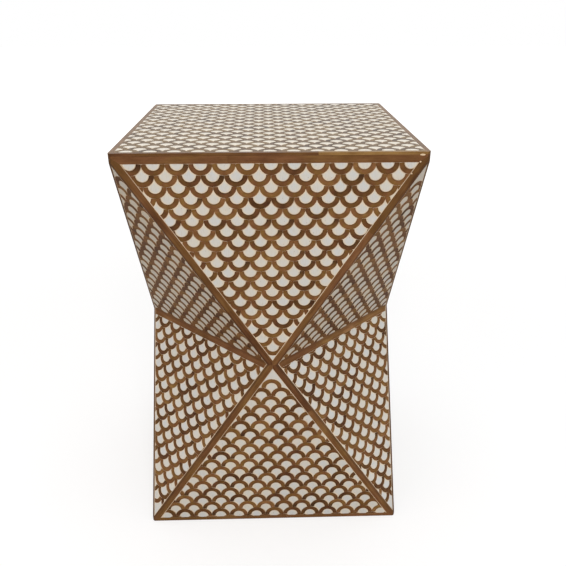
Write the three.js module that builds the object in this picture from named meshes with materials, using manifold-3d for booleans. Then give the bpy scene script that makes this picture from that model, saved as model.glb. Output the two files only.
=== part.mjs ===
// An inlaid side stool with a drawn-in waist. A square box has a deep V-notch cut into each of its
// four upright corners, so every side becomes an hourglass board and every corner two slanting
// triangles. The boards carry a thin layer of wood and bone inlay, edged with mitred wood strips.
// Millimetres, +Z up, the front looks along -Y, and the origin is the middle of the underside.
import * as THREE from "three";
import { ConvexGeometry } from "three/addons/geometries/ConvexGeometry.js";
import { mergeVertices } from "three/addons/utils/BufferGeometryUtils.js";
import Module from "manifold-3d";

// Outer form
const width = 300; // side of the square top, and of the equal base
const height = 450;
const waistHeight = 221.5; // level of the notches' deepest line
const neckWidth = 8.4; // what the notches leave of each side at the waist
const topEdgeStand = 5.5; // plain upright edge between the top and the start of a notch
const baseEdgeStand = 0.5;

// Carcass boards
const sideBoardThickness = 12;
const cornerBoardThickness = 12;
const topBoardThickness = 15;
const baseBoardThickness = 12;

// Inlaid layer and its wood strips
const sideInlayThickness = 2;
const topInlayThickness = 2.8;
const topBorderWidth = 3.5;
const bandHeight = 7.1;
const upperDiagonalWidth = 6.6;
const lowerDiagonalWidth = 5.9;
const baseStripHeight = 5;
const waistStripWidth = 5.5; // on the lower corner face
const waistLipWidth = 4.5; // on the upper corner face

// Clearances
const glueLine = 0.3; // between any two pieces
const sawOverrun = 20; // how far a cutting wedge runs past the wood
const cornerTolerance = 1e-6;

const halfWidth = width / 2;
const halfNeck = neckWidth / 2;
const halfGlue = glueLine / 2;
const quarterTurn = Math.PI / 2;
const sideNames = ["front", "right", "back", "left"];
const cornerNames = ["front_right", "back_right", "back_left", "front_left"];

const wasm = await Module();
wasm.setup();

const woodStrip = new THREE.MeshStandardMaterial({ color: 0x7b5030, roughness: 0.55, metalness: 0 });
const boneInlay = new THREE.MeshStandardMaterial({ color: 0xcfc8b8, roughness: 0.4, metalness: 0 });
const carcassBoard = new THREE.MeshStandardMaterial({ color: 0xa9855a, roughness: 0.85, metalness: 0 });

// Each piece is cut from sheet by straight saw cuts, so it is the space behind a set of planes.
// A cut's normal points away from the wood that stays.
function cut(normal, point) {
  return new THREE.Plane().setFromNormalAndCoplanarPoint(normal.clone().normalize(), point);
}

function level(z, up) {
  return cut(new THREE.Vector3(0, 0, up), new THREE.Vector3(0, 0, z));
}

function upright(x, y, reach) {
  const normal = new THREE.Vector3(x, y, 0).normalize();
  return cut(normal, normal.clone().multiplyScalar(reach));
}

// The same cut taken deeper into the wood, and the same cut keeping the other side.
function deeper(plane, depth) {
  return new THREE.Plane(plane.normal.clone(), plane.constant + depth);
}

function otherSide(plane) {
  return new THREE.Plane(plane.normal.clone().negate(), -plane.constant);
}

// A cut where two pieces meet: each stops half a glue line short of it.
function joint(plane) {
  return deeper(plane, halfGlue);
}

function meeting(a, b, c) {
  const bc = new THREE.Vector3().crossVectors(b.normal, c.normal);
  const ca = new THREE.Vector3().crossVectors(c.normal, a.normal);
  const ab = new THREE.Vector3().crossVectors(a.normal, b.normal);
  const spread = a.normal.dot(bc);
  if (Math.abs(spread) < cornerTolerance) return null;
  return bc
    .multiplyScalar(-a.constant)
    .add(ca.multiplyScalar(-b.constant))
    .add(ab.multiplyScalar(-c.constant))
    .divideScalar(spread);
}

// The convex piece behind all the cuts: its corners are where three cuts meet.
function sawn(cuts) {
  const corners = [];
  for (let i = 0; i < cuts.length; i++) {
    for (let j = i + 1; j < cuts.length; j++) {
      for (let k = j + 1; k < cuts.length; k++) {
        const corner = meeting(cuts[i], cuts[j], cuts[k]);
        if (!corner) continue;
        const kept = cuts.every((plane) => plane.distanceToPoint(corner) < cornerTolerance);
        const fresh = corners.every((other) => other.distanceTo(corner) > cornerTolerance);
        if (kept && fresh) corners.push(corner);
      }
    }
  }
  return new ConvexGeometry(corners);
}

function solidOf(geometry) {
  const bare = geometry.clone();
  bare.deleteAttribute("normal");
  if (bare.getAttribute("uv")) bare.deleteAttribute("uv");
  const welded = mergeVertices(bare);
  return new wasm.Manifold(
    new wasm.Mesh({
      numProp: 3,
      vertProperties: new Float32Array(welded.getAttribute("position").array),
      triVerts: new Uint32Array(welded.getIndex().array),
    }),
  );
}

function geometryOf(solid) {
  const mesh = solid.getMesh();
  const geometry = new THREE.BufferGeometry();
  geometry.setAttribute("position", new THREE.BufferAttribute(mesh.vertProperties, 3));
  geometry.setIndex(new THREE.BufferAttribute(mesh.triVerts, 1));
  geometry.computeVertexNormals();
  return geometry;
}

// Each notch is two cuts that slant in from the upright edge to the waist. A cut is given for the
// front right corner, or mirrored (side -1) for the front left one.
const waistReach = (halfWidth + halfNeck) / Math.SQRT2; // from the middle to the waist line
const edgeReach = halfWidth * Math.SQRT2;
const upperNotchTop = height - topEdgeStand;
const lowerNotchBottom = baseEdgeStand;
const upperSlope = (edgeReach - waistReach) / (upperNotchTop - waistHeight);
const lowerSlope = (edgeReach - waistReach) / (waistHeight - lowerNotchBottom);

function notchCut(slope, upDown, side = 1) {
  const outward = new THREE.Vector3(side, -1, 0).normalize();
  const normal = outward.clone().add(new THREE.Vector3(0, 0, -upDown * slope));
  const waistPoint = outward.multiplyScalar(waistReach).setZ(waistHeight);
  return cut(normal, waistPoint);
}

const upperNotch = (side) => notchCut(upperSlope, 1, side);
const lowerNotch = (side) => notchCut(lowerSlope, -1, side);

// Levels where layers change
const topInlayUnderside = height - topInlayThickness;
const bandLine = topInlayUnderside - bandHeight;
const topBoardUnderside = topInlayUnderside - topBoardThickness;
const boardFace = halfWidth - sideInlayThickness; // outer face of the side boards
const boardBack = boardFace - sideBoardThickness;

// Cuts of the front side. The other sides are quarter turns of it.
const sideFront = upright(0, -1, halfWidth);
const inlayBack = upright(0, 1, -boardFace);
const sideMitres = [upright(1, 1, 0), upright(-1, 1, 0)];
const bothNotches = (notch) => [notch(1), notch(-1)];

function diagonalDirection(notchEnd) {
  return new THREE.Vector3(halfWidth - halfNeck, 0, notchEnd - waistHeight).normalize();
}

function diagonalLine(end, side) {
  const along = diagonalDirection(end.notchEnd);
  const outward = new THREE.Vector3(Math.abs(along.z), 0, -Math.sign(along.z) * along.x);
  const point = new THREE.Vector3(halfNeck, 0, waistHeight).addScaledVector(outward, -end.diagonalWidth);
  const mirror = new THREE.Vector3(side, 1, 1);
  return cut(outward.multiply(mirror), point.multiply(mirror));
}

// The mitre between a diagonal strip and the level strip that it meets at the end of the side:
// it runs from the outer corner to the corner of the field. Its normal points to the level strip.
function endMitre(end, side) {
  const along = diagonalDirection(end.notchEnd);
  const overRidge = halfNeck + ((end.stripLevel - waistHeight) * along.x) / along.z;
  const innerX = overRidge - end.diagonalWidth / Math.abs(along.z);
  const outer = new THREE.Vector3(halfWidth, 0, end.endLevel);
  const run = new THREE.Vector3(innerX, 0, end.stripLevel).sub(outer);
  const normal = new THREE.Vector3(run.z, 0, -run.x).multiplyScalar(end.up);
  const mirror = new THREE.Vector3(side, 1, 1);
  return cut(normal.multiply(mirror), outer.multiply(mirror));
}

const upperEnd = {
  up: 1,
  notchEnd: upperNotchTop,
  endLevel: topInlayUnderside,
  stripLevel: bandLine,
  diagonalWidth: upperDiagonalWidth,
};
const lowerEnd = {
  up: -1,
  notchEnd: lowerNotchBottom,
  endLevel: 0,
  stripLevel: baseStripHeight,
  diagonalWidth: lowerDiagonalWidth,
};
const ends = [upperEnd, lowerEnd];

function endCut(end) {
  return end.up > 0 ? joint(level(end.endLevel, 1)) : level(end.endLevel, -1);
}

function notchOf(end) {
  return end.up > 0 ? upperNotch : lowerNotch;
}

// The inlaid layer of one side: a triangular field, two diagonal strips and a level strip at each end
function sideField(end) {
  const lines = [1, -1].map((side) => joint(diagonalLine(end, side)));
  return sawn([sideFront, joint(inlayBack), joint(level(end.stripLevel, end.up)), ...lines]);
}

function levelStrip(end) {
  const mitres = [1, -1].map((side) => {
    return joint(otherSide(endMitre(end, side)));
  });
  return sawn([
    sideFront,
    joint(inlayBack),
    endCut(end),
    joint(level(end.stripLevel, -end.up)),
    ...mitres,
    ...sideMitres.map(joint),
    ...bothNotches(notchOf(end)),
  ]);
}

function diagonalStrip(end, side) {
  return sawn([
    sideFront,
    joint(inlayBack),
    endCut(end),
    notchOf(end)(side),
    joint(otherSide(diagonalLine(end, side))),
    joint(endMitre(end, side)),
    joint(side > 0 ? sideMitres[0] : sideMitres[1]),
    joint(upright(-side, 0, 0)),
    joint(level(waistHeight, -end.up)),
  ]);
}

// The inlaid triangle of the front right corner, between the inlaid layers of its two sides
const betweenSides = [upright(0, -1, boardFace), upright(1, 0, boardFace)].map(joint);

function alongFace(notch, upDown, distance) {
  const line = new THREE.Vector3(1, 1, 0).normalize();
  const rise = new THREE.Vector3().crossVectors(notch.normal, line);
  if (rise.z * upDown < 0) rise.negate();
  const waistPoint = new THREE.Vector3(1, -1, 0).setLength(waistReach).setZ(waistHeight);
  return cut(rise.clone().negate(), waistPoint.addScaledVector(rise, distance));
}

function cornerField(end, stripWidth) {
  const notch = notchOf(end)(1);
  return sawn([
    notch,
    joint(otherSide(deeper(notch, sideInlayThickness))),
    joint(alongFace(notch, end.up, stripWidth)),
    ...betweenSides,
  ]);
}

// The waist strip is a bar of V section that lies in the notch's deepest line: a narrow lip above, a
// wide leg below. It is an outline pulled along that line, with its ends cut at the side layers.
function waistStrip() {
  const legs = [
    { slope: upperSlope, up: 1, reach: waistLipWidth - halfGlue },
    { slope: lowerSlope, up: -1, reach: waistStripWidth - halfGlue },
  ];
  const thickness = sideInlayThickness - halfGlue;
  const tips = [];
  const heels = [];
  for (const { slope, up, reach } of legs) {
    const lean = Math.atan(slope);
    const tip = new THREE.Vector2(reach * Math.sin(lean), up * reach * Math.cos(lean));
    const inward = new THREE.Vector2(-Math.cos(lean), up * Math.sin(lean)).multiplyScalar(thickness);
    tips.push(tip);
    heels.push(tip.clone().add(inward));
  }
  const crease = new THREE.Vector2(-thickness / Math.cos(Math.atan(Math.min(upperSlope, lowerSlope))), 0);
  const outline = new THREE.Shape([new THREE.Vector2(0, 0), tips[0], heels[0], crease, heels[1], tips[1]]);
  const bar = new THREE.ExtrudeGeometry(outline, { depth: 2 * width, bevelEnabled: false });
  const outward = new THREE.Vector3(1, -1, 0).normalize();
  const up = new THREE.Vector3(0, 0, 1);
  const along = new THREE.Vector3().crossVectors(outward, up);
  const place = new THREE.Matrix4().makeBasis(outward, up, along);
  const start = outward.clone().multiplyScalar(waistReach).addScaledVector(along, -width);
  bar.applyMatrix4(place.setPosition(start.setZ(waistHeight)));
  const room = sawn([...betweenSides, upright(-1, 0, 0), upright(0, 1, 0), level(height, 1), level(0, -1)]);
  return geometryOf(solidOf(bar).intersect(solidOf(room)));
}

// Carcass
function sideBoard() {
  const blank = sawn([
    joint(upright(0, -1, boardFace)),
    joint(upright(0, 1, -boardBack)),
    ...sideMitres.map(joint),
    joint(level(topBoardUnderside, 1)),
    level(0, -1),
  ]);
  const wedges = [1, -1].map((side) => {
    const faces = [upperNotch(side), lowerNotch(side)];
    const kerf = faces.map((face) => otherSide(deeper(face, sideInlayThickness + halfGlue)));
    const reach = width + sawOverrun;
    return sawn([
      ...kerf,
      upright(side, 0, reach),
      upright(0, -1, reach),
      upright(0, 1, 0),
      level(height + sawOverrun, 1),
      level(-sawOverrun, -1),
    ]);
  });
  return geometryOf(solidOf(blank).subtract(solidOf(wedges[0])).subtract(solidOf(wedges[1])));
}

function cornerBoard(end) {
  const notch = notchOf(end)(1);
  return sawn([
    joint(deeper(notch, sideInlayThickness)),
    otherSide(deeper(notch, sideInlayThickness + cornerBoardThickness)),
    joint(upright(0, -1, boardBack)),
    joint(upright(1, 0, boardBack)),
    joint(upright(-1, 0, 0)),
    joint(upright(0, 1, 0)),
    joint(level(waistHeight, -end.up)),
    end.up > 0 ? joint(level(topBoardUnderside, 1)) : level(0, -1),
  ]);
}

// A cut of the front side or the front right corner, repeated on all four
function allRound(plane) {
  const axis = new THREE.Vector3(0, 0, 1);
  return sideNames.map((name, turn) => {
    const normal = plane.normal.clone().applyAxisAngle(axis, turn * quarterTurn);
    return new THREE.Plane(normal, plane.constant);
  });
}

function topBoard() {
  return sawn([
    joint(level(topInlayUnderside, 1)),
    joint(level(topBoardUnderside, -1)),
    ...allRound(joint(upright(0, -1, boardFace))),
    ...allRound(joint(deeper(upperNotch(1), sideInlayThickness))),
  ]);
}

function baseBoard() {
  const cornerBack = deeper(lowerNotch(1), sideInlayThickness + cornerBoardThickness);
  return sawn([
    level(0, -1),
    level(baseBoardThickness, 1),
    ...allRound(joint(upright(0, -1, boardBack))),
    ...allRound(joint(cornerBack)),
  ]);
}

// Inlaid layer of the top, and the ring of strip round it
const borderLine = halfWidth - topBorderWidth;

function topField() {
  return sawn([
    level(height, 1),
    joint(level(topInlayUnderside, -1)),
    ...allRound(joint(upright(0, -1, borderLine))),
  ]);
}

function topBorder() {
  const plate = sawn([
    level(height, 1),
    joint(level(topInlayUnderside, -1)),
    ...allRound(sideFront),
  ]);
  const hole = sawn([
    level(height + sawOverrun, 1),
    level(topInlayUnderside - sawOverrun, -1),
    ...allRound(upright(0, -1, borderLine + halfGlue)),
  ]);
  return geometryOf(solidOf(plate).subtract(solidOf(hole)));
}

const stool = new THREE.Group();

function add(parent, name, geometry, material) {
  const mesh = new THREE.Mesh(geometry, material);
  mesh.name = name;
  parent.add(mesh);
}

add(stool, "top_board", topBoard(), carcassBoard);
add(stool, "base_board", baseBoard(), carcassBoard);
add(stool, "top_inlay", topField(), boneInlay);
add(stool, "top_border", topBorder(), woodStrip);

for (let turn = 0; turn < 4; turn++) {
  const quarter = new THREE.Group();
  quarter.rotation.z = turn * quarterTurn;
  stool.add(quarter);
  const side = sideNames[turn];
  const corner = cornerNames[turn];
  add(quarter, `side_board_${side}`, sideBoard(), carcassBoard);
  add(quarter, `waist_strip_${corner}`, waistStrip(), woodStrip);
  for (const end of ends) {
    const half = end.up > 0 ? "upper" : "lower";
    const stripWidth = end.up > 0 ? waistLipWidth : waistStripWidth;
    add(quarter, `${half}_corner_board_${corner}`, cornerBoard(end), carcassBoard);
    add(quarter, `${half}_corner_inlay_${corner}`, cornerField(end, stripWidth), boneInlay);
    add(quarter, `${half}_side_inlay_${side}`, sideField(end), boneInlay);
    add(quarter, `${half}_diagonal_strip_${side}_right`, diagonalStrip(end, 1), woodStrip);
    add(quarter, `${half}_diagonal_strip_${side}_left`, diagonalStrip(end, -1), woodStrip);
  }
  add(quarter, `top_band_${side}`, levelStrip(upperEnd), woodStrip);
  add(quarter, `base_strip_${side}`, levelStrip(lowerEnd), woodStrip);
}

export default stool;
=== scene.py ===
# %% [markdown]
# # An inlaid side stool
# The stool is a square box whose four upright corners are cut away to a waist. Each side is left as
# an hourglass, and each corner as two slanting triangles. Thin brown strips follow every edge, and
# each field between them is covered with fish scales: half rings of wood round little fans of bone,
# all set in cream resin and polished flush.
#
# The packed model gives the exact frame: the boards inside, one solid for each strip, and one plain
# plate for each inlaid field. This script gives the strips their grain and their joints, and it
# takes the plates' place with real scales, laid row by row by Geometry Nodes.

# %% Load the packed model
import math
import random
from collections import namedtuple

import bmesh
import bpy
from mathutils import Matrix, Vector


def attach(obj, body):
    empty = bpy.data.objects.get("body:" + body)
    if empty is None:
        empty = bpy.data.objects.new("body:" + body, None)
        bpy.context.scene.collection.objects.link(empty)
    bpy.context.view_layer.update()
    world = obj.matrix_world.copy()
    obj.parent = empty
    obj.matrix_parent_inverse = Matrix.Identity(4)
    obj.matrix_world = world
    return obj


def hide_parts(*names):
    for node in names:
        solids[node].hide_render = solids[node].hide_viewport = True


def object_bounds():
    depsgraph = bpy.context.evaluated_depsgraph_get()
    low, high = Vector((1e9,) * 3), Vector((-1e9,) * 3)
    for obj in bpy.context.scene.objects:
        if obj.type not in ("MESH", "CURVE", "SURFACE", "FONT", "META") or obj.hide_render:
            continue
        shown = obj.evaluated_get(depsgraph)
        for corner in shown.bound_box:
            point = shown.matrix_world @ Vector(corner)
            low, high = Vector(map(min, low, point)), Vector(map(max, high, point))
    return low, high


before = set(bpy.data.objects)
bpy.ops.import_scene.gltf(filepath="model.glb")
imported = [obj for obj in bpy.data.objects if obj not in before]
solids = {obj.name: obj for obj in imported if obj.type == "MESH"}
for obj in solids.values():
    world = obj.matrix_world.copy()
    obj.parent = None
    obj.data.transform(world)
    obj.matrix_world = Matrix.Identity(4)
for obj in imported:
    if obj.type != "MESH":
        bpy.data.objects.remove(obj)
cad_box = [list(corner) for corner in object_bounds()]
MM = 0.001
print(len(solids), "solids in a box from", cad_box[0], "to", cad_box[1])

# %% [markdown]
# ## Node trees as expressions
# Blender keeps materials and Geometry Nodes as graphs. Placing a node for each plus and minus makes
# long code, so a small class wraps a socket and lets Python's operators add the Math nodes. Every
# other node comes from one method, which takes its type, its settings and what its sockets get.


# %% The socket wrapper
class Wire:
    """A node's output. Sums and products of wires and numbers add their own Math nodes."""

    def __init__(self, tree, socket):
        self.tree = tree
        self.socket = socket

    def maths(self, operation, *others):
        return self.tree.maths(operation, self, *others)

    def __add__(self, other):
        return self.maths("ADD", other)

    def __radd__(self, other):
        return self + other

    def __sub__(self, other):
        return self.maths("SUBTRACT", other)

    def __rsub__(self, other):
        return self.tree.maths("SUBTRACT", other, self)

    def __mul__(self, other):
        return self.maths("MULTIPLY", other)

    def __rmul__(self, other):
        return self * other

    def __truediv__(self, other):
        return self.maths("DIVIDE", other)

    def rise(self, low, high):
        """0 below low, 1 above high, and smooth between."""
        sockets = {"Value": self, "From Min": low, "From Max": high}
        return self.tree.add("ShaderNodeMapRange", {"interpolation_type": "SMOOTHSTEP"}, sockets)


print("Wire:", Wire.__doc__)


# %% The tree builder
class Tree:
    """Adds nodes to a shader tree or a geometry tree."""

    def __init__(self, tree):
        self.tree = tree

    def add(self, kind, settings=None, sockets=None, output=0):
        node = self.tree.nodes.new(kind)
        for name, value in (settings or {}).items():
            if name == "stops":
                self.set_stops(node.color_ramp, value)
            else:
                setattr(node, name, value)
        for key, value in (sockets or {}).items():
            self.plug(self.find(node.inputs, key), value)
        return Wire(self, self.find(node.outputs, output)) if node.outputs else None

    def find(self, sockets, key):
        if isinstance(key, int):
            return sockets[key]
        return next(s for s in sockets if s.identifier == key or (s.name == key and s.enabled))

    def plug(self, socket, value):
        if isinstance(value, Wire):
            self.tree.links.new(value.socket, socket)
        else:
            socket.default_value = value

    def set_stops(self, ramp, stops):
        while len(ramp.elements) < len(stops):
            ramp.elements.new(1)
        for element, (place, colour) in zip(ramp.elements, stops):
            element.position = place
            element.color = colour

    def mix(self, share, first, second, blend="MIX"):
        """A colour between two: first where share is 0, second where it is 1."""
        settings = {"data_type": "RGBA", "blend_type": blend}
        sockets = {"Factor_Float": share, "A_Color": first, "B_Color": second}
        return self.add("ShaderNodeMix", settings, sockets, "Result_Color")

    def maths(self, operation, *values):
        return self.add("ShaderNodeMath", {"operation": operation}, dict(enumerate(values)))

    def vector(self, operation, *values, output=0):
        settings = {"operation": operation}
        return self.add("ShaderNodeVectorMath", settings, dict(enumerate(values)), output)

    def noise(self, place, scale, detail, stretch=None):
        """Soft noise, drawn out along each axis that has an amount under 1 in stretch."""
        if stretch:
            place = self.vector("MULTIPLY", place, stretch)
        sockets = {"Vector": place, "Scale": scale, "Detail": detail}
        return self.add("ShaderNodeTexNoise", None, sockets, "Fac")

    def coordinates(self, output="Object"):
        return self.add("ShaderNodeTexCoord", None, None, output)

    def mark(self, name, output="Fac"):
        """A value that the mesh carries on its points."""
        return self.add("ShaderNodeAttribute", {"attribute_name": name}, None, output)

    def own_place(self):
        """A place in the wood or bone that a scale is sawn from, which no two scales share."""
        tone = self.mark("tone")
        spot = self.add("ShaderNodeCombineXYZ", None, {0: tone, 1: tone * 3})
        return self.vector("ADD", self.mark("sawn", "Vector"), spot)

    def relief(self, height, strength, depth):
        sockets = {"Strength": strength, "Distance": depth, "Height": height}
        return self.add("ShaderNodeBump", None, sockets, "Normal")

    def facing_up(self):
        """1 on the stool's top and 0 on its sides."""
        height = self.add("ShaderNodeSeparateXYZ", None, {0: self.coordinates("Normal")}, "Z")
        return height.rise(0.9, 0.99)

    def looked_at(self):
        """1 for what the camera sees, straight or in a mirror, and 0 for light on its way."""
        seen = self.add("ShaderNodeLightPath", None, None, "Is Camera Ray")
        mirrored = self.add("ShaderNodeLightPath", None, None, "Is Glossy Ray")
        return seen.maths("MAXIMUM", mirrored)


print("Tree:", Tree.__doc__)

# %% Colours and finish
TOP_POLISH = 0.4  # the share of a full clear coat that the top has


def paint(red, green, blue):
    """A colour from 0 to 255, as a screen shows it, in the linear numbers that Blender wants."""

    def linear(value):
        share = value / 255
        return share / 12.92 if share <= 0.04045 else ((share + 0.055) / 1.055) ** 2.4

    return (linear(red), linear(green), linear(blue), 1)


def make_material(name, build):
    """A material whose node tree is built by a function of its own."""
    material = bpy.data.materials.new(name)
    material.use_nodes = True
    material.node_tree.nodes.clear()
    build(Tree(material.node_tree))
    print(name, "has", len(material.node_tree.nodes), "nodes")
    return material


def finish_material(tree, colour, roughness, relief, polished=True):
    """Ends a material's tree. A polished one is satin on the sides and has a clear coat on the top."""
    sockets = {"Base Color": colour, "Roughness": roughness, "Normal": relief, "Coat Roughness": 0.3}
    if polished:
        sockets["Specular IOR Level"] = 0.1
        sockets["Coat Weight"] = tree.facing_up() * TOP_POLISH
    surface = tree.add("ShaderNodeBsdfPrincipled", None, sockets)
    tree.add("ShaderNodeOutputMaterial", None, {"Surface": surface})


def new_object(name, data):
    made = bpy.data.objects.new(name, data)
    bpy.context.scene.collection.objects.link(made)
    return made


print("a mid brown is", [round(part, 3) for part in paint(120, 80, 50)])

# %% [markdown]
# ## Wood of the scales
# Every half ring is sawn from another bit of veneer, so neighbours differ from dark umber to tan,
# and the saw leaves the edges darker, most of all on the inside of the bend. The mesh carries what
# the material needs: **tone** is one random number for each ring, **across** runs from its inner
# edge to its outer one, **along** from foot to foot, and **sawn** is a place in its own veneer.
#
# The maker polished the top more than the sides, so there every material has a thin clear coat.
# On the top, painted reflection tints the wood greyer and less red, and painted light tints the bone
# warmer.

# %% Scale wood
VENEERS = [
    (0, paint(60, 38, 22)),
    (0.22, paint(87, 58, 35)),
    (0.55, paint(112, 78, 47)),
    (0.85, paint(130, 95, 59)),
    (1, paint(150, 115, 74)),
]
REDDISH = (1, 0.9, 0.94, 1)  # a wood's own colour is multiplied by one of these three, or a mixture
GOLDEN = (0.98, 1, 0.78, 1)
# On the top the third tint is painted reflection, which greys the wood and takes out some red.
PAINTED_TOP_SHEEN = (0.81, 0.99, 0.84, 1)


def tinted(tree, wood, gold, painted_sheen=1.0):
    """The colour of a wood, reddish or golden; on the top, painted reflection greys it by the given
    share.
    """
    tint = tree.mix(gold, REDDISH, GOLDEN)
    return tree.mix(1, wood, tree.mix(tree.facing_up() * painted_sheen, tint, PAINTED_TOP_SHEEN), "MULTIPLY")


def build_scale_wood(tree):
    place = tree.own_place()
    grain = tree.noise(place, 1500, 3, (0.25, 1, 1))
    cloud = tree.noise(place, 160, 1)
    shade = 0.22 + tree.mark("tone") * 0.6 + (cloud - 0.5) * 0.7 + (grain - 0.5) * 0.35
    veneer = tree.add("ShaderNodeValToRGB", {"stops": VENEERS}, {"Fac": shade}, "Color")
    gold = tree.noise(tree.vector("ADD", place, (5, 0, 0)), 130, 1).rise(0.35, 0.65)
    veneer = tinted(tree, veneer, gold)
    across = tree.mark("across")
    burnt_inside = 1 - across.rise(0, 0.35)
    burnt_outside = across.rise(0.88, 1)
    dark_end = tree.mark("along").rise(0.62, 1) * tree.mark("burn").rise(0.8, 0.86)
    dark = burnt_inside * 0.45 + burnt_outside * 0.25 + dark_end * 0.65
    colour = tree.mix(dark, veneer, paint(44, 27, 16))
    relief = tree.relief(grain * 0.5 + cloud, 0.25, 0.2 * MM)
    finish_material(tree, colour, 0.5 + grain * 0.16, relief)


scale_wood = make_material("scale_wood", build_scale_wood)

# %% [markdown]
# ## Bone and resin
# The fans are off-white camel bone, greyer in one piece and warmer in the next. Each has faint
# streaks, a rare dark pore and a warmer rim. Between the pieces shows the cream resin that they are
# set in. It is a shade warmer than the bone, and in patches on the sides saw dust has browned it.

# %% Bone
GREY_BONE = paint(204, 207, 209)
WARM_BONE = paint(215, 208, 194)


def build_bone(tree):
    place = tree.own_place()
    streak = tree.noise(place, 900, 3, (1, 0.2, 1))
    cloud = tree.noise(place, 120, 1)
    across = tree.mark("across")
    rim = 1 - ((1 - across.maths("ABSOLUTE")) * tree.mark("half")).rise(0, 2.4)
    # Facing up adds painted light, which makes the bone on the top warmer.
    warmth = tree.mark("tone") * 0.5 + (cloud - 0.5) + rim * 0.8 + tree.facing_up()
    bone = tree.mix(warmth, GREY_BONE, WARM_BONE)
    streaked = tree.mix(streak.rise(0.45, 0.75) * 0.3, bone, paint(188, 182, 168))
    pore = tree.noise(place, 700, 0).rise(0.8, 0.84)
    colour = tree.mix(pore * 0.6, streaked, paint(110, 90, 70))
    finish_material(tree, colour, 0.42 + streak * 0.12, tree.relief(streak, 0.12, 0.2 * MM))


bone = make_material("bone", build_bone)


# %% Cream resin
def build_resin(tree):
    place = tree.coordinates()
    cloud = tree.noise(place, 90, 2)
    grit = tree.noise(place, 2500, 1)
    clean = tree.mix(cloud, paint(222, 202, 174), paint(232, 216, 192))
    dusty = tree.noise(place, 22, 1).rise(0.45, 0.62) * (1 - tree.facing_up())
    colour = tree.mix(dusty * 0.5, clean, paint(150, 116, 82))
    finish_material(tree, colour, 0.5 + grit * 0.15, tree.relief(grit, 0.3, 0.1 * MM))


cream_resin = make_material("cream_resin", build_resin)

# %% [markdown]
# ## One scale of each kind
# Both shapes are drawn flat first, as a ladder of small quads between two rails. Flat pieces are
# easy to trim at the edge of a field, and they get their thickness last. A ring's rails are its
# inner and outer edge. A fan's rails are its left and right side: up the outside of the two rings
# below, in at the shoulder, then round inside its own ring. Each ring stands with its feet on the
# backs of two rings of the row below, and both the feet and the fans are cut to that curve.

# %% Sizes of the scales
PITCH = 22 * MM  # from one ring to the next in a row
ROW_STEP = 11 * MM
RING_FLAT = PITCH / 2 - 0.05 * MM  # where a ring's sides are flat against its neighbours
RING_OUTER = 11.42 * MM
RING_INNER = 6.5 * MM
RESIN_LINE = 0.55 * MM  # between a ring and a fan
FOOT_LINE = 0.08 * MM  # between a ring's foot and the back of the ring below
FOOT_SHORT = 0.4 * MM  # how much shorter a foot is on its inside
ARC_STEPS = 12


def flat_piece(name, rungs, marks):
    """A strip of quads between two rails. marks gives each carried value as one pair for each rung."""
    points = [point for rung in rungs for point in rung]
    quads = [(i, i + 1, i + 3, i + 2) for i in range(0, len(points) - 2, 2)]
    mesh = bpy.data.meshes.new(name)
    mesh.from_pydata([(x, y, 0) for x, y in points], [], quads)
    for mark, pairs in marks.items():
        layer = mesh.attributes.new(mark, "FLOAT", "POINT")
        layer.data.foreach_set("value", [value for pair in pairs for value in pair])
    sawn = mesh.attributes.new("sawn", "FLOAT_VECTOR", "POINT")
    sawn.data.foreach_set("vector", [value for x, y in points for value in (x, y, 0)])
    return mesh


def on_circle(radius, angle):
    return (radius * math.cos(angle), radius * math.sin(angle))


def over_back(x, clear):
    """How high the back of a ring in the row below comes, x beside its middle, and clear over it."""
    return math.sqrt((RING_OUTER + clear) ** 2 - x**2) - ROW_STEP


print("scales stand", PITCH / MM, "mm apart")


# %% The half ring of wood
def draw_ring():
    shares = [step / ARC_STEPS for step in range(ARC_STEPS + 1)]
    rungs = []
    for share in shares:
        outer_x, outer_y = on_circle(RING_OUTER, math.pi * share)
        outer_x = max(-RING_FLAT, min(RING_FLAT, outer_x))
        rungs.append((on_circle(RING_INNER, math.pi * share), (outer_x, outer_y)))
    inside = (RING_INNER, over_back(RING_INNER - PITCH / 2, FOOT_LINE + FOOT_SHORT))
    outside = (RING_FLAT, over_back(RING_FLAT - PITCH / 2, FOOT_LINE))
    for foot, side in ((0, 1), (-1, -1)):
        rungs[foot] = tuple((side * x, y) for x, y in (inside, outside))
    marks = {"across": [(0, 1)] * len(rungs), "along": [(share, share) for share in shares]}
    return flat_piece("half_ring", rungs, marks)


ring_sheet = draw_ring()
print("a half ring has", len(ring_sheet.polygons), "faces")

# %% The fan of bone
SHOULDER = RING_INNER - 0.15 * MM  # how far the fan reaches out under its ring's feet
SHOULDER_RISE = 0.05 * MM  # how far above the shoulder its head begins
TIP_HALF = 0.1 * MM  # half the width of its lower tip
HEAD_HALF = 0.3 * MM  # half the width of the flat on top of its head
CROWDING = 1.5  # above 1 it crowds the rungs towards the tip


def draw_fan():
    steps = ARC_STEPS // 2
    right = []
    for step in range(steps + 1):
        x = TIP_HALF + (SHOULDER - TIP_HALF) * (step / steps) ** CROWDING
        right.append((x, over_back(x - PITCH / 2, RESIN_LINE)))
    head = RING_INNER - RESIN_LINE
    first = math.asin((right[-1][1] + SHOULDER_RISE) / head)
    right += [on_circle(head, first + (math.pi / 2 - first) * step / steps) for step in range(steps)]
    right.append((HEAD_HALF, head))
    rungs = [((-x, y), (x, y)) for x, y in right]
    marks = {"across": [(-1, 1)] * len(rungs), "half": [(x / MM, x / MM) for x, _ in right]}
    return flat_piece("fan", rungs, marks)


fan_sheet = draw_fan()
print("a fan has", len(fan_sheet.polygons), "faces")

# %% [markdown]
# ## Laying the rows
# The craftsman lays the scales row by row from one straight edge, each row shifted by half a scale.
# That is a rule, so a Geometry Nodes tree does it: it makes a point for every scale, works out its
# row and column from the point's number, puts a copy of the flat piece there with the small slips
# of a hand, and gives each copy its own random **tone** and **burn**.


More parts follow.
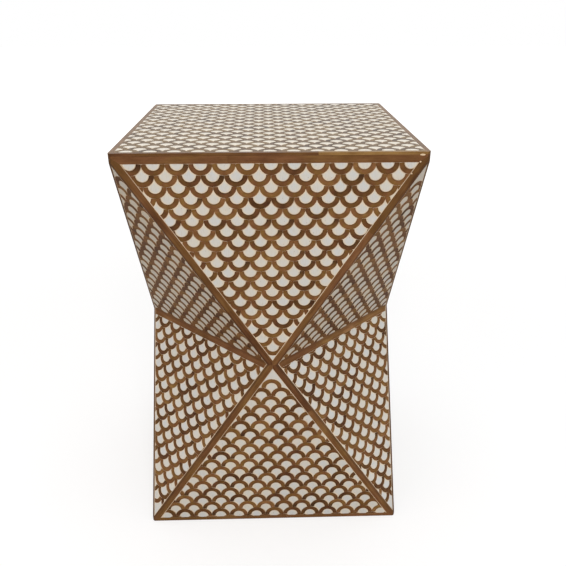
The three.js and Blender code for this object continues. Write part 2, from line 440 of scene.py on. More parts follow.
# %% The inputs of the tree that lays the scales
INPUTS = {
    "Geometry": ("Piece",),
    "Int": ("Rows", "Columns", "Seed"),
    "Float": ("Pitch", "Row Step", "Phase", "Drift per Row", "Last Row Reach", "Slip", "Sink", "Turn"),
    "Material": ("Finish",),
}


def new_group(name):
    """A tree with named inputs: its builder, a wire from each input and each one's identifier."""
    group = bpy.data.node_groups.new(name, "GeometryNodeTree")
    identifiers = {}
    for kind, labels in INPUTS.items():
        for label in labels:
            socket = group.interface.new_socket(label, in_out="INPUT", socket_type="NodeSocket" + kind)
            identifiers[label] = socket.identifier
    group.interface.new_socket("Laid", in_out="OUTPUT", socket_type="NodeSocketGeometry")
    tree = Tree(group)
    given = group.nodes.new("NodeGroupInput")
    read = {label: Wire(tree, tree.find(given.outputs, label)) for label in identifiers}
    return tree, read, identifiers


print("the tree will take", sum(map(len, INPUTS.values())), "inputs")


# %% The tree itself
def make_layer():
    tree, read, identifiers = new_group("lay_scales")
    number = tree.add("GeometryNodeInputIndex")
    row = (number / read["Columns"]).maths("FLOOR")
    column = number - row * read["Columns"]
    odd = row.maths("MODULO", 2)
    aside = column - (read["Columns"] - 1) / 2 + odd / 2
    x = aside * read["Pitch"] + row * read["Drift per Row"] + read["Phase"]
    y = row * read["Row Step"]

    def chance(low, high, step):
        sockets = {"Min_001": low, "Max_001": high, "Seed": read["Seed"] + step}
        return tree.add("FunctionNodeRandomValue", {"data_type": "FLOAT"}, sockets, "Value_001")

    def either_way(reach, step):
        return chance(reach * -1, reach, step)

    slipped_x = x + either_way(read["Slip"], 1)
    slipped_y = y + either_way(read["Slip"], 2)
    sunk = chance(read["Sink"] * -1, 0.0, 6)
    place = tree.add("ShaderNodeCombineXYZ", None, {0: slipped_x, 1: slipped_y, 2: sunk})
    count = read["Rows"] * read["Columns"]
    points = tree.add("GeometryNodePoints", None, {"Count": count, "Position": place})
    last = row.maths("GREATER_THAN", read["Rows"] - 1.5)
    left_out = last * x.maths("ABSOLUTE").maths("GREATER_THAN", read["Last Row Reach"])
    sockets = {"Geometry": points, "Selection": left_out}
    points = tree.add("GeometryNodeDeleteGeometry", {"domain": "POINT"}, sockets)
    turn = tree.add("ShaderNodeCombineXYZ", None, {2: either_way(read["Turn"], 3)})
    sockets = {"Points": points, "Instance": read["Piece"], "Rotation": turn}
    laid = tree.add("GeometryNodeInstanceOnPoints", None, sockets)
    for step, name in enumerate(("tone", "burn")):
        settings = {"data_type": "FLOAT", "domain": "INSTANCE"}
        sockets = {"Geometry": laid, "Name": name, "Value": chance(0.0, 1.0, 4 + step)}
        laid = tree.add("GeometryNodeStoreNamedAttribute", settings, sockets)
    real = tree.add("GeometryNodeRealizeInstances", None, {"Geometry": laid})
    finished = tree.add("GeometryNodeSetMaterial", None, {"Geometry": real, "Material": read["Finish"]})
    tree.add("NodeGroupOutput", None, {"Laid": finished})
    return tree.tree, identifiers


lay_scales, lay_identifiers = make_layer()
print(lay_scales.name, "has", len(lay_scales.nodes), "nodes")

# %% Run the tree on a flat piece
SAME_FOR_ALL = {
    "Pitch": PITCH,
    "Row Step": ROW_STEP,
    "Slip": 0.06 * MM,  # how far a scale may lie beside its place
    "Sink": 0.02 * MM,  # how far it may lie below the field's face
    "Turn": math.radians(0.8),
}


def laid_scales(sheet, rows, columns, phase, drift, reach, seed, finish):
    """The rows as one flat mesh. The tree's inputs are set by identifier before it first runs."""
    table = new_object("laying_table", sheet)
    modifier = table.modifiers.new("lay_scales", "NODES")
    modifier.node_group = lay_scales
    values = {"Rows": rows, "Columns": columns, "Phase": phase, "Drift per Row": drift}
    values |= {"Last Row Reach": reach, "Seed": seed, "Finish": finish}
    for name, value in (SAME_FOR_ALL | values).items():
        modifier[lay_identifiers[name]] = value
    seen = table.evaluated_get(bpy.context.evaluated_depsgraph_get())
    mesh = bpy.data.meshes.new_from_object(seen)
    bpy.data.objects.remove(table)
    return mesh


trial = laid_scales(ring_sheet, 3, 5, 0.0, 0.0, 1.0, 1, scale_wood)
print("three rows of five rings have", len(trial.polygons), "faces")

# %% [markdown]
# ## From a flat sheet to a field
# Each field's outline is read from its plate in the packed model, so the scales fit the frame by
# themselves. The sheet is trimmed along that outline, a hair inside it, which leaves the cream line
# beside the strips. Then every piece is thickened downwards and the sheet is turned onto its face.


# %% Read a field from its plate
BORDER_REACH = 1.5 * MM  # how far the border of the top is laid over the rim of the top's plate
IN_PLANE = 0.01 * MM  # a corner nearer to the face's plane than this lies in it
APART = 0.05 * MM  # corners nearer to each other than this are one corner


def outer_normal(mesh):
    """The direction that the largest outer face of a plate looks in."""
    middle = Vector((0, 0, sum(corner[2] for corner in cad_box) / 2))
    totals = {}
    for face in mesh.polygons:
        if (face.center - middle).dot(face.normal) > 0:
            key = tuple(round(part, 2) for part in face.normal)
            totals[key] = totals.get(key, Vector()) + face.normal * face.area
    return max(totals.values(), key=lambda total: total.length).normalized()


class Field:
    """The outer face of a plate: where it lies, and its outline in its own flat coordinates."""

    def __init__(self, node, towards_top):
        mesh = solids[node].data
        self.normal = outer_normal(mesh)
        reach = max(vertex.co.dot(self.normal) for vertex in mesh.vertices)
        corners = [v.co for v in mesh.vertices if reach - v.co.dot(self.normal) < IN_PLANE]
        flat = self.normal.z > 0.9
        self.rim = BORDER_REACH if flat else 0
        self.right = Vector((1, 0, 0)) if flat else Vector((0, 0, 1)).cross(self.normal).normalized()
        if not towards_top:
            self.right.negate()
        self.up = self.normal.cross(self.right)
        across = [corner.dot(self.right) for corner in corners]
        low = min(corner.dot(self.up) for corner in corners)
        centre = (min(across) + max(across)) / 2
        self.origin = self.right * centre + self.up * low + self.normal * reach
        found = []
        for corner in map(self.to_flat, corners):
            if all((corner - other).length > APART for other in found):
                found.append(corner)
        hub = sum(found, Vector((0, 0))) / len(found)
        self.outline = sorted(found, key=lambda corner: math.atan2(corner.y - hub.y, corner.x - hub.x))
        self.width = max(across) - min(across)
        self.height = max(corner[1] for corner in self.outline)

    def to_flat(self, point):
        step = point - self.origin
        return Vector((step.dot(self.right), step.dot(self.up)))

    def edges(self):
        """Each side of the outline as a point on it and the direction that leaves the field."""
        for start, end in zip(self.outline, self.outline[1:] + self.outline[:1]):
            run = end - start
            yield start, Vector((run.y, -run.x)).normalized()

    def matrix(self):
        turned = Matrix((self.right, self.up, self.normal)).transposed().to_4x4()
        return Matrix.Translation(self.origin) @ turned


trial_field = Field("upper_side_inlay_front", False)
print("the upper front field is", round(trial_field.width / MM, 1), "mm wide")

# %% Trim, thicken and place
CREAM_LINE = 0.45 * MM  # between the scales and the strips that run beside them
SCALE_DEPTH = 1.2 * MM
CRUMB = 2 * MM * MM  # a smaller piece than this is left out
CUT_TOLERANCE = 0.0001 * MM


def cut_off(form, point, outward):
    """Cuts away what lies beyond a plane, and gives what lies on the cut."""
    geometry = form.verts[:] + form.edges[:] + form.faces[:]
    cut = bmesh.ops.bisect_plane(
        form, geom=geometry, dist=CUT_TOLERANCE, plane_co=point, plane_no=outward, clear_outer=True
    )
    return cut["geom_cut"]


def trim(sheet, field):
    for point, outward in field.edges():
        base = outward.y < -0.99
        inset = field.rim or (0 if base else CREAM_LINE)
        cut_off(sheet, (point - outward * inset).to_3d(), outward.to_3d())


def islands(sheet):
    """The separate pieces of a flat sheet, each as a set of faces."""
    left = set(sheet.faces)
    while left:
        piece = {left.pop()}
        reach = list(piece)
        while reach:
            near = left & {other for edge in reach.pop().edges for other in edge.link_faces}
            left -= near
            piece |= near
            reach.extend(near)
        yield piece


def drop_crumbs(sheet):
    crumbs = []
    for piece in islands(sheet):
        if sum(face.calc_area() for face in piece) < CRUMB:
            crumbs.extend(piece)
    bmesh.ops.delete(sheet, geom=crumbs, context="FACES")


def thicken(sheet, top, depth):
    """Gives the flat pieces their thickness, from top down by depth, as closed bodies."""
    bmesh.ops.translate(sheet, verts=sheet.verts, vec=(0, 0, top))
    made = bmesh.ops.extrude_face_region(sheet, geom=sheet.faces[:], use_keep_orig=True)
    lower = [part for part in made["geom"] if isinstance(part, bmesh.types.BMVert)]
    bmesh.ops.translate(sheet, verts=lower, vec=(0, 0, -depth))
    bmesh.ops.recalc_face_normals(sheet, faces=sheet.faces[:])


def place_piece(name, sheet, matrix, finish, slot, *nodes):
    """Turns the sheet onto its face of the stool and hands it to the frame."""
    mesh = bpy.data.meshes.new(name)
    sheet.to_mesh(mesh)
    sheet.free()
    mesh.transform(matrix)
    mesh.materials.clear()  # this also sends every face back to the first slot
    mesh.materials.append(finish)
    piece = new_object(name, mesh)
    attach(piece, "root")
    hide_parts(*nodes)
    return piece


print("the cream line is", CREAM_LINE / MM, "mm wide")

# %% The bed of resin
BED_DROP = 0.12 * MM  # how far the resin lies below the polished pieces
BED_DEPTH = 1.5 * MM


def make_bed(node, field, reach):
    """A plate of resin under the whole field that also fills the line beside the strips."""
    sheet = bmesh.new()
    edges = list(field.edges())
    corners = []
    for index, (point, outward) in enumerate(edges):
        before_point, before_outward = edges[index - 1]
        lines = Matrix((before_outward, outward))
        reaches = Vector((before_point.dot(before_outward) + reach, point.dot(outward) + reach))
        corners.append(lines.inverted() @ reaches)
    sheet.faces.new([sheet.verts.new((corner.x, corner.y, 0)) for corner in corners])
    thicken(sheet, -BED_DROP, BED_DEPTH)
    name = node.replace("inlay", "resin")
    place_piece(name, sheet, field.matrix(), cream_resin, "bone_inlay", node)


print("the resin lies", BED_DROP / MM, "mm below the scales")

# %% [markdown]
# ## The plain tip
# Near the point of a triangle there is no room for one more ring, and the craftsman closes it with
# one plain piece of bone. Its lower edge follows the last rings, so it is drawn as a ladder again:
# the lower rail runs over the tops of those rings, and the upper rail lies beyond the point.


# %% The plain tip of bone
TIP_STEPS = 48
TIP_REACH = PITCH * 1.3  # how far the ladder reaches to each side
TIP_TONE = 0.4
TIP_RIM = 2  # millimetres from its middle to its rim, as the bone's material takes it
NEAR_COLUMNS = 3  # how many rings to each side can touch the tip


def draw_tip(field, rows, phase, drift, last_reach):
    centres = []
    for row, reach in ((rows - 1, last_reach), (rows - 2, 1.0)):
        shift = (phase + drift * row + (PITCH / 2 if row % 2 else 0)) % PITCH
        for column in range(-NEAR_COLUMNS, NEAR_COLUMNS):
            if abs(shift + PITCH * column) < reach:
                centres.append((shift + PITCH * column, ROW_STEP * row))
    clear = RING_OUTER + RESIN_LINE

    def over_rings(x):
        return max(y + math.sqrt(clear**2 - (x - cx) ** 2) for cx, y in centres if abs(x - cx) < clear)

    places = [TIP_REACH * (2 * step / TIP_STEPS - 1) for step in range(TIP_STEPS + 1)]
    rungs = [((x, field.height + PITCH), (x, over_rings(x))) for x in places]
    marks = {"tone": [(TIP_TONE, TIP_TONE)] * len(rungs), "half": [(TIP_RIM, TIP_RIM)] * len(rungs)}
    return flat_piece("tip", rungs, marks)


print("a tip's ladder has", TIP_STEPS, "steps")

# %% [markdown]
# ## The seventeen fields
# The rings always bend towards the point of their triangle, and on the top towards the back. The
# first row is cut by the long edge. The numbers below were read from the stool, and each field has
# its own: first how many **rows** fit before the plain tip. The rest is in millimetres: where the
# first row **starts** beside the long edge, the **pitch** along a row, the **step** from row to row,
# where the **first** ring stands beside the middle, and how far each row **leans** sideways. A
# **reach** is given where the last row has only its middle ring. Opposite corners share numbers.

# %% Lay every field
Layout = namedtuple("Layout", "rows start pitch step first lean reach", defaults=[1000])
LAYOUTS = {
    "top_inlay": Layout(28, -8.0, 22.3, 10.8, 10.6, 0),
    "upper_side_inlay": Layout(19, -0.3, 21.9, 10.85, -0.4, 0),
    "lower_side_inlay": Layout(19, -9.1, 22.0, 10.9, 10.7, 0.55, 11),
    "upper_corner_inlay_front_left": Layout(21, -8.7, 22.2, 11.0, 1.5, 0.05),
    "upper_corner_inlay_front_right": Layout(20, -1.9, 21.6, 10.75, 10.2, 0.2),
    "lower_corner_inlay_front_left": Layout(20, -0.2, 21.9, 10.8, -10.6, 0.35),
    "lower_corner_inlay_front_right": Layout(21, -8.6, 21.6, 10.75, 3.7, 0.2),
}
POINTS_DOWN = ("upper_side", "lower_corner")
RESIN_REACH = 0.35 * MM  # how far the bed of resin reaches out beside the plate
FIRST_SEED = 3
SEED_STEP = 11  # from field to field, more than the tree itself adds to a seed


def lay_field(node, layout, seed):
    field = fields[node]
    columns = 2 * math.ceil(field.width / PITCH / 2) + 3  # enough to pass the field's width
    shifts = (layout.first * MM, layout.lean * MM, layout.reach * MM)
    stretch = Matrix.Diagonal((layout.pitch * MM / PITCH, layout.step * MM / ROW_STEP, 1, 1))
    spread = Matrix.Translation((0, layout.start * MM, 0)) @ stretch
    count = 0
    for kind, sheet_mesh, finish, slot in (
        ("rings", ring_sheet, scale_wood, "inlay_wood"),
        ("fans", fan_sheet, bone, "bone_inlay"),
    ):
        flat = laid_scales(sheet_mesh, layout.rows, columns, *shifts, seed, finish)
        sheet = bmesh.new()
        sheet.from_mesh(flat)
        if kind == "fans" and len(field.outline) == 3:
            sheet.from_mesh(draw_tip(field, layout.rows, *shifts))
        bmesh.ops.transform(sheet, matrix=spread, verts=sheet.verts)
        trim(sheet, field)
        drop_crumbs(sheet)
        thicken(sheet, 0, SCALE_DEPTH)
        name = node.replace("inlay", kind)
        piece = place_piece(name, sheet, field.matrix(), finish, slot, node)
        count += len(piece.data.polygons)
    make_bed(node, field, RESIN_REACH - field.rim)
    return count


fields = {}
faces = 0
for index, node in enumerate(sorted(name for name in solids if "inlay" in name)):
    pattern = node.replace("back_right", "front_left").replace("back_left", "front_right")
    layout = next(values for plate, values in LAYOUTS.items() if pattern.startswith(plate))
    fields[node] = Field(node, not node.startswith(POINTS_DOWN))
    faces += lay_field(node, layout, FIRST_SEED + SEED_STEP * index)
print("the scales of", len(fields), "fields have", faces, "faces")

# %% [markdown]
# ## Strips
# The strips are sawn from brown hardwood, so their grain runs lengthwise. Their colour changes from
# one length to the next, because a side often takes two lengths with a butt joint between. Each
# strip is a copy of its solid, swelled a little where it meets other pieces and cut at its joints.
# It carries **tone** and **gold**, its lightness and its hue, and **grain**, its own coordinates
# along and across the wood. The whole stool was sanded flush, so only its outer edges are rounded,
# and most of all its upright corners.
#
# At the right end of the front's top band the maker filled three gaps with cream resin. They are
# spots in the strips' material, placed in the stool's own coordinates. The material also paints
# shade on the edges that the sides' strips turn to the corners, where light falls off at the ridge.


# %% Strip wood
STRIP_WOODS = [
    (0, paint(74, 48, 28)),
    (0.35, paint(103, 71, 43)),
    (0.65, paint(122, 88, 56)),
    (1, paint(150, 116, 78)),
]
SHADE_FROM = 147.6 * MM  # from the stool's middle to where the painted shade on an edge starts
SHADE_TO = 147.8 * MM
FILLED_GAPS = [
    ((142.0, -150, 447.1), (2.8, 1, 0.85)),
    ((140.4, -150, 440.6), (0.9, 1, 0.8)),
    ((133.1, -150, 429.5), (0.7, 1, 0.8)),
]


def filled_gaps(tree):
    """1 inside a filled gap and 0 outside. A gap has its middle and its reach in millimetres."""
    place = tree.coordinates()
    filled = 0
    for middle, reach in FILLED_GAPS:
        step = tree.vector("ADD", place, Vector(middle) * -MM)
        step = tree.vector("MULTIPLY", step, [1 / part for part in Vector(reach) * MM])
        distance = tree.vector("LENGTH", step, output="Value")
        filled = (1 - distance.rise(0.85, 1)) + filled
    return filled


def ridge_shade(tree):
    """Painted shade: 1 on the edge that a side's strip shows beside a corner's field, and 0 on the
    rest.
    """
    spread = []
    for output in ("Normal", "Object"):
        across = tree.vector("ABSOLUTE", tree.coordinates(output))
        spread.append([tree.add("ShaderNodeSeparateXYZ", None, {0: across}, axis) for axis in "XY"])
    (across_x, across_y), (x, y) = spread
    slanted = (across_x * across_y).rise(0.08, 0.2)
    return slanted * x.maths("MAXIMUM", y).rise(SHADE_FROM, SHADE_TO)


def build_strip_wood(tree):
    place = tree.mark("grain", "Vector")
    fibre = tree.noise(place, 1400, 4, (0.06, 1, 1))
    streak = tree.noise(place, 420, 2, (0.05, 1, 1))
    figure = tree.noise(place, 130, 2, (0.4, 1, 1))
    shade = tree.mark("tone") + (figure - 0.5) * 0.7 + (streak - 0.5) * 0.6 + (fibre - 0.5) * 0.35
    colour = tree.add("ShaderNodeValToRGB", {"stops": STRIP_WOODS}, {"Fac": shade}, "Color")
    gold = tree.noise(tree.vector("ADD", place, (3, 0, 0)), 70, 1, (0.4, 1, 1))
    gold = (tree.mark("gold") + (gold - 0.5) * 1.4).rise(0.1, 0.9)
    # The strips get 0.4 of the painted reflection on the top.
    colour = tinted(tree, colour, gold, 0.4)
    pore = tree.noise(place, 2600, 1, (0.1, 1, 1)).rise(0.64, 0.72)
    colour = tree.mix(pore * 0.45, colour, paint(50, 30, 18))
    # Painted shade on the edges that the sides' strips turn to the corners, where light falls off at
    # the ridge.
    colour = tree.mix(ridge_shade(tree) * 0.35, colour, paint(48, 32, 22))
    colour = tree.mix(filled_gaps(tree), colour, paint(228, 206, 176))
    relief = tree.relief(fibre * 0.6 - pore * 0.6, 0.3, 0.2 * MM)
    finish_material(tree, colour, 0.5 + fibre * 0.15, relief)


strip_wood = make_material("strip_wood", build_strip_wood)


# %% Which faces of a strip are shown
SAME_FACING = 0.9999  # the least product of two normals that count as parallel
IN_OUTER_PLANE = 0.05 * MM
OUTER_PLANES = [(field.normal, field.origin.dot(field.normal)) for field in fields.values()]
OUTER_PLANES.append((Vector((0, 0, -1)), 0.0))


def is_shown(face):
    centre = face.calc_center_median()
    return any(
        normal.dot(face.normal) > SAME_FACING and abs(normal.dot(centre) - reach) < IN_OUTER_PLANE
        for normal, reach in OUTER_PLANES
    )


def welded(node):
    """The solid's triangles as one closed form with flat faces."""
    form = bmesh.new()
    form.from_mesh(solids[node].data)
    bmesh.ops.remove_doubles(form, verts=form.verts, dist=0.001 * MM)
    bmesh.ops.dissolve_limit(form, angle_limit=math.radians(1), verts=form.verts, edges=form.edges)
    form.normal_update()
    return form


print("faces in any of", len(OUTER_PLANES), "planes are shown")

# %% Swell, saw and round
SWELL = 0.11 * MM  # at each hidden face, so that a mitre closes to a thin line
SAW_GAP = 0.08 * MM  # between two lengths
EDGE_ROUND = 0.7 * MM
CORNER_ROUND = 3.5 * MM
CORNER_FLATS = (15, 30, 45, 60, 75)  # degrees
HALF_WIDTH = cad_box[1][0]


def swell(form, inward):
    """Moves every hidden face outwards, by moving each corner until it suits its faces again. Upright
    faces that look towards the stool's middle move further, by inward."""
    steps = []
    for corner in form.verts:
        facing = Matrix(((0, 0, 0),) * 3)
        push = Vector()
        for face in corner.link_faces:
            normal = face.normal
            facing += Matrix([normal * part for part in normal])
            towards_middle = abs(normal.z) < 0.1 and normal.dot(face.calc_center_median()) < 0
            push += normal * (0 if is_shown(face) else SWELL + inward * towards_middle)
        steps.append((corner, facing.inverted() @ push))
    for corner, step in steps:
        corner.co += step


def saw_off(form, point, outward):
    """Saws away what lies beyond a plane, and closes the cut."""
    cut = cut_off(form, point, outward)
    rim = [part for part in cut if isinstance(part, bmesh.types.BMEdge)]
    bmesh.ops.edgenet_fill(form, edges=rim)


def round_corners(form):
    """Takes the sharp tip off each upright corner of the stool, with flats that touch one circle."""
    for turn in range(4):
        around = Matrix.Rotation(turn * math.pi / 2, 3, "Z")
        inset = HALF_WIDTH - CORNER_ROUND
        middle = around @ Vector((inset, -inset, 0))
        for angle in CORNER_FLATS:
            slant = math.radians(angle)
            outward = around @ Vector((math.sin(slant), -math.cos(slant), 0))
            if any((vertex.co - middle).dot(outward) > CORNER_ROUND for vertex in form.verts):
                saw_off(form, middle + outward * CORNER_ROUND, outward)


def longest_run(form):
    """The direction of the longest edge, taken towards the right, the back or the top."""
    edge = max(form.edges, key=lambda e: e.calc_length())
    run = (edge.verts[1].co - edge.verts[0].co).normalized()
    return run if run.dot(Vector((1, 2, 3))) > 0 else -run


print("upright corners are rounded by", CORNER_ROUND / MM, "mm")

# %% Finish each length and join them
SHARP = 0.1  # radians, the least bend of an edge that is rounded


def wood_marks(form):
    layers = form.verts.layers
    return layers.float.new("tone"), layers.float.new("gold"), layers.float_vector.new("grain")


def finish_length(form, run, tone, gold, chance):
    """Rounds the outer edges a little and marks the wood with its tone, its hue and its grain."""
    form.normal_update()
    bends = [edge for edge in form.edges if edge.calc_face_angle(0) > SHARP]
    outer = [edge for edge in bends if all(map(is_shown, edge.link_faces))]
    rounding = {"offset": EDGE_ROUND, "segments": 2, "profile": 0.5, "clamp_overlap": True}
    bmesh.ops.bevel(form, geom=outer, affect="EDGES", **rounding)
    bmesh.ops.recalc_face_normals(form, faces=form.faces[:])
    upright = Vector((0, 0, 1)) if abs(run.z) < 0.9 else Vector((0, 1, 0))
    side = run.cross(upright).normalized()
    over = run.cross(side)
    start = Vector([chance.random() for _ in range(3)])
    tones, golds, grains = wood_marks(form)
    for vertex in form.verts:
        vertex[tones] = tone
        vertex[golds] = gold
        vertex[grains] = start + Vector((vertex.co.dot(run), vertex.co.dot(side), vertex.co.dot(over)))


def join_into(whole, part):
    mesh = bpy.data.meshes.new("part")
    part.to_mesh(mesh)
    part.free()
    whole.from_mesh(mesh)
    bpy.data.meshes.remove(mesh)


def add_strip(name, node, woods, joints=(), planes=(), inward=0):
    """One strip. woods gives the tone and the gold of each length, and joints gives the shares of the
    strip, from its low, front or left end, where two lengths are butted."""
    chance = random.Random(name)
    whole = welded(node)
    swell(whole, inward)
    for point, outward in planes:
        saw_off(whole, point, outward)
    round_corners(whole)
    run = longest_run(whole)
    reaches = [vertex.co.dot(run) for vertex in whole.verts]
    low, high = min(reaches), max(reaches)
    stops = [None, *[low + (high - low) * joint for joint in joints], None]
    strip = bmesh.new()
    wood_marks(strip)
    for start, end, (tone, gold) in zip(stops, stops[1:], woods):
        length = whole.copy()
        if start is not None:
            saw_off(length, run * (start + SAW_GAP / 2), -run)
        if end is not None:
            saw_off(length, run * (end - SAW_GAP / 2), run)
        finish_length(length, run, tone, gold, chance)
        join_into(strip, length)
    whole.free()
    place_piece(name, strip, Matrix.Identity(4), strip_wood, "inlay_wood", node)


print("the saw gap is", SAW_GAP / MM, "mm")

# %% [markdown]
# ## Which lengths go where
# The front was copied from the stool that this model follows: where its strips are butted, and
# which lengths are darker. Each wood is a pair: its **tone**, from dark to light, and its **gold**,
# from reddish to golden. A seeded choice gives the other sides woods of the same range and a joint
# here and there.

# %% Woods and joints of the strips
FRONT_STRIPS = {
    "top_band_front": (((0.54, 0.35), (0.47, 0.25)), (0.367,)),
    "upper_diagonal_strip_front_left": (((0.28, 0.35), (0.4, 0.55)), (0.292,)),
    "upper_diagonal_strip_front_right": (((0.58, 0.3), (0.33, 0.6)), (0.662,)),
    "lower_diagonal_strip_front_left": (((0.47, 0.5),), ()),
    "lower_diagonal_strip_front_right": (((0.56, 0.45), (0.26, 0.35)), (0.722,)),
    "base_strip_front": (((0.5, 0.5), (0.55, 0.4)), (0.55,)),
    "waist_strip_front_right": (((0.5, 0.3), (0.68, 0.5)), (0.315,)),
    "waist_strip_front_left": (((0.48, 0.3), (0.58, 0.3)), (0.74,)),
}
CREAM_END = 0.7 * MM  # of resin between a waist strip and the strips that it runs into
CREAM_PULL = 0.7  # how far the resin is pulled out past the solid's end, as a share of half of that
NEAR_CUT = 0.1 * MM  # corners nearer to the cut than this stay where they are


def waist_ends(node):
    """The two planes across a waist strip where its wood stops and its cream ends begin."""
    centre = sum((vertex.co for vertex in solids[node].data.vertices), Vector())
    planes = []
    for axis in (0, 1):
        outward = Vector()
        outward[axis] = math.copysign(1, centre[axis])
        reach = max(vertex.co.dot(outward) for vertex in solids[node].data.vertices)
        planes.append((outward * (reach - CREAM_END / 2), outward))
    return planes


def add_cream_ends(name, node, planes):
    """A slice of resin at each end of a waist strip, pulled out along the strip to fill the gap."""
    both = bmesh.new()
    for point, outward in planes:
        end = welded(node)
        run = longest_run(end)
        stretch = run * (CREAM_END / 2 / run.dot(outward))
        saw_off(end, point, -outward)
        for vertex in end.verts:
            if (vertex.co - point).dot(outward) > NEAR_CUT:
                vertex.co += stretch * CREAM_PULL
        join_into(both, end)
    place_piece(name, both, Matrix.Identity(4), cream_resin, "bone_inlay", node)


print("cream ends are", CREAM_END / MM, "mm long")


# %% Make every strip
JOINTED = 0.4  # the chance that a strip of the other three sides is laid in two lengths
pick = random.Random(12)
strip_nodes = sorted(name for name in solids if "strip" in name or "band" in name)
for node in strip_nodes:
    if node in FRONT_STRIPS:
        woods, joints = FRONT_STRIPS[node]
    else:
        joints = (pick.uniform(0.25, 0.75),) if pick.random() < JOINTED else ()
        woods = [(pick.uniform(0.25, 0.65), pick.uniform(0.3, 0.8)) for _ in range(len(joints) + 1)]
    ends = waist_ends(node) if "waist" in node else ()
    add_strip(f"wood_{node}", node, woods, joints, ends)
    if ends:
        add_cream_ends(node.replace("waist_strip", "waist_cream"), node, ends)
print(len(strip_nodes), "strips cut and rounded")

# %% The border of the top
BORDER = {
    "front": (((0.32, 0.5), (0.85, 0.8)), (0.65,)),
    "right": (((0.45, 0.5),), ()),
    "back": (((0.4, 0.4), (0.55, 0.6)), (0.4,)),
    "left": (((0.5, 0.6),), ()),
}
for turn, (side, (woods, joints)) in enumerate(BORDER.items()):
    around = Matrix.Rotation(turn * math.pi / 2, 3, "Z")
    mitres = []
    for x in (1, -1):
        outward = around @ Vector((x, 1, 0)).normalized()
        mitres.append((-outward * SAW_GAP / 2, outward))
    add_strip(f"top_border_{side}", "top_border", woods, joints, mitres, BORDER_REACH)
print("top border laid in", sum(len(woods) for woods, _ in BORDER.values()), "lengths")

# %% [markdown]
# ## The boards inside
# The carcass is raw fibreboard. Only its underside can be seen, so its solids stay as they are and
# get no more than the look of pressed brown fibres.


# %% Fibreboard
def build_fibreboard(tree):
    place = tree.coordinates()
    fibres = tree.noise(place, 900, 4)
    patches = tree.noise(place, 40, 2)
    colour = tree.mix(fibres * 0.6 + patches * 0.4, paint(140, 108, 72), paint(186, 153, 112))
    relief = tree.relief(fibres, 0.3, 0.3 * MM)
    finish_material(tree, colour, 0.8 + fibres * 0.15, relief, polished=False)


fibreboard = make_material("fibreboard", build_fibreboard)
boards = [solids[name] for name in sorted(solids) if "board" in name]
for board in boards:
    board.data.materials.clear()
    board.data.materials.append(fibreboard)
print(len(boards), "boards of", fibreboard.name)

# %% [markdown]
# ## Floor, light and camera
# The photograph shows the stool on plain white. The floor is pale and catches a soft shadow. To the
# camera and in mirrors it also glows, more with the distance, until it is as white as the sky. The
# light that it throws back up is warmer and dimmer, as from a workshop's floor. A bright sky and a
# large soft lamp above the camera light the front so that a colour renders about as it is written.
# Three weaker lamps help: one over the top, one low at the right, and a small warm one at the left.


# %% Floor
FLOOR_DROP = 0.2 * MM
WHITE = (1, 1, 1, 1)


def build_floor(tree):
    distance = tree.vector("LENGTH", tree.coordinates(), output="Value")
    matt = tree.add("ShaderNodeBsdfDiffuse", None, {"Color": (0.42, 0.42, 0.42, 1)})
    strength = 0.58 + distance.rise(0.5, 3) * 0.42
    glow = tree.add("ShaderNodeEmission", None, {"Color": WHITE, "Strength": strength})
    shown = tree.add("ShaderNodeAddShader", None, {0: matt, 1: glow})
    thrown = tree.add("ShaderNodeBsdfDiffuse", None, {"Color": (0.44, 0.345, 0.235, 1)})
    surface = tree.add("ShaderNodeMixShader", None, {0: tree.looked_at(), 1: thrown, 2: shown})
    tree.add("ShaderNodeOutputMaterial", None, {"Surface": surface})


bpy.ops.mesh.primitive_plane_add(size=16, location=(0, 0, -FLOOR_DROP))
floor = bpy.context.object
floor.name = "floor"
floor.data.materials.append(make_material("white_floor", build_floor))
print("the floor is", round(floor.dimensions.x, 1), "m wide")


# %% Sky and lamps
AIM = (0, 0, 0.22)  # about the stool's middle


def light_sky(strength):
    """A sky that is white to the camera and lights the stool with this strength."""
    world = bpy.data.worlds.new("sky")
    bpy.context.scene.world = world
    world.use_nodes = True
    world.node_tree.nodes.clear()
    tree = Tree(world.node_tree)
    level = tree.looked_at() * (1 - strength) + strength
    sky = tree.add("ShaderNodeBackground", None, {"Color": WHITE, "Strength": level})
    tree.add("ShaderNodeOutputWorld", None, {"Surface": sky})


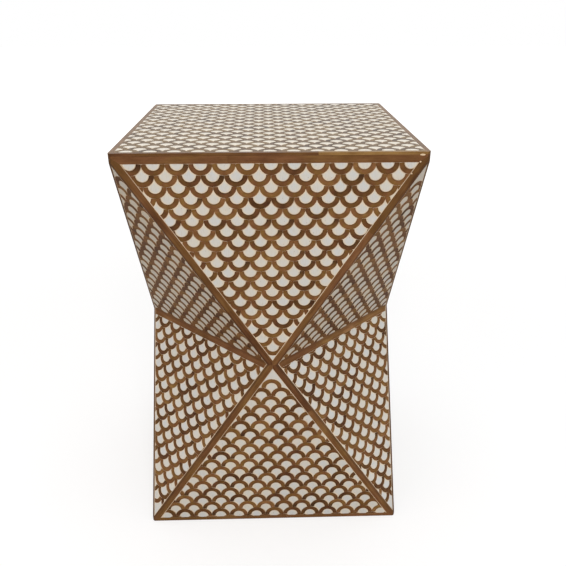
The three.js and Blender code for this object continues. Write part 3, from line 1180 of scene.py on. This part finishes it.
def hang_lamp(name, place, size, watts, aim=AIM, colour=(1, 1, 1)):
    lamp = bpy.data.lights.new(name, "AREA")
    lamp.color = colour
    lamp.size = size
    lamp.energy = watts
    holder = new_object(name, lamp)
    holder.location = place
    holder.rotation_euler = (Vector(aim) - Vector(place)).to_track_quat("-Z", "Y").to_euler()
    return holder


light_sky(strength=0.6)
lamps = [
    hang_lamp("front_softbox", place=(0.1, -2.3, 2.15), size=1.4, watts=42),
    hang_lamp("top_softbox", place=(0, 0.3, 2.6), size=1.6, watts=15, aim=(0, 0, 0.2)),
    hang_lamp("side_softbox", place=(2.4, -0.4, 0.5), size=1.2, watts=2.6),
    hang_lamp("warm_lamp", place=(-1.8, -0.8, 2.0), size=1.2, watts=3, colour=(1, 0.5, 0.25)),
]
print(len(lamps), "lamps")

# %% Camera
FRAME_PIXELS = 566  # the picture's width and height
FOCAL_PIXELS = 635.77
OPTICAL_MIDDLE = (285.5, 320)  # in pixels from the picture's upper left
PITCH_DOWN = 0.471101  # radians
TURN = 0.031464
OFFSET = Vector((-0.0187109, 0.1784144, 0.924527))  # the stool's origin, right, down and ahead


def set_camera():
    """The camera that was worked out from the stool's corners in the photograph."""
    forward_y = Matrix(((1, 0, 0), (0, 0, -1), (0, 1, 0)))
    looked = Matrix.Rotation(PITCH_DOWN, 3, "X") @ forward_y @ Matrix.Rotation(TURN, 3, "Z")
    right, down, ahead = looked
    data = bpy.data.cameras.new("camera")
    data.sensor_width = 36
    data.lens = FOCAL_PIXELS * data.sensor_width / FRAME_PIXELS
    data.shift_x = (FRAME_PIXELS / 2 - OPTICAL_MIDDLE[0]) / FRAME_PIXELS
    data.shift_y = (OPTICAL_MIDDLE[1] - FRAME_PIXELS / 2) / FRAME_PIXELS
    camera = new_object("camera", data)
    facing = Matrix((right, -down, -ahead)).transposed().to_4x4()
    camera.matrix_world = Matrix.Translation(-(looked.transposed() @ OFFSET)) @ facing
    bpy.context.scene.camera = camera
    return camera


camera = set_camera()
bpy.context.scene.view_settings.view_transform = "Standard"
print("the camera has a lens of", round(camera.data.lens, 1), "mm")

# %% [markdown]
# The visual model has to stay in the packed model's box.
